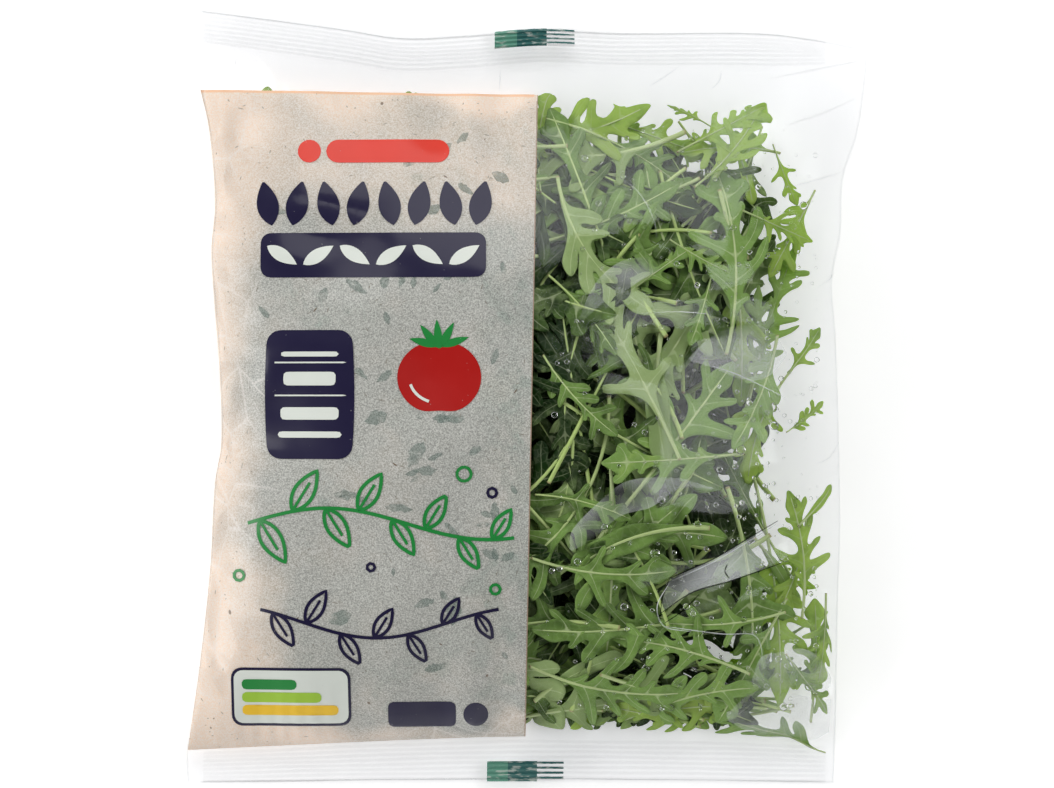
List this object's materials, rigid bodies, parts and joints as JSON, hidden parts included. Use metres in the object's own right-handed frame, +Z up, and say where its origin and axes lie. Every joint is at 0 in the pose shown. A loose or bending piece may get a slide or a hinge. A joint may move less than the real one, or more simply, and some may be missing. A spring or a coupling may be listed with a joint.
{
  "type": "bag of salad leaves",
  "caption": "Pillow bag of wild rocket leaves in clear film, with crimped end seals and a printed paper-look panel over its left half.",
  "frame": {"origin": "on the surface that the bag lies on, under the middle of its outline", "axes": "+Z up out of the bag's front, +Y towards its upper seal, +X to the right of the front, where the film is clear"},
  "size_m": [0.2232, 0.2553, 0.0481],
  "materials": {
    "clear_film": "thin clear polypropylene film, glossy, over green leaves",
    "printed_film": "film printed with a speckled grey-beige paper look, satin",
    "leaf_green": "fresh rocket leaf, satin with pale veins",
    "stalk_green": "pale green leaf stalk, satin",
    "print_ink": "flat ink on film",
    "water": "small clear droplets inside the film"
  },
  "bodies": {
    "root": {"bag": "clear_film"}
  },
  "joints": []
}
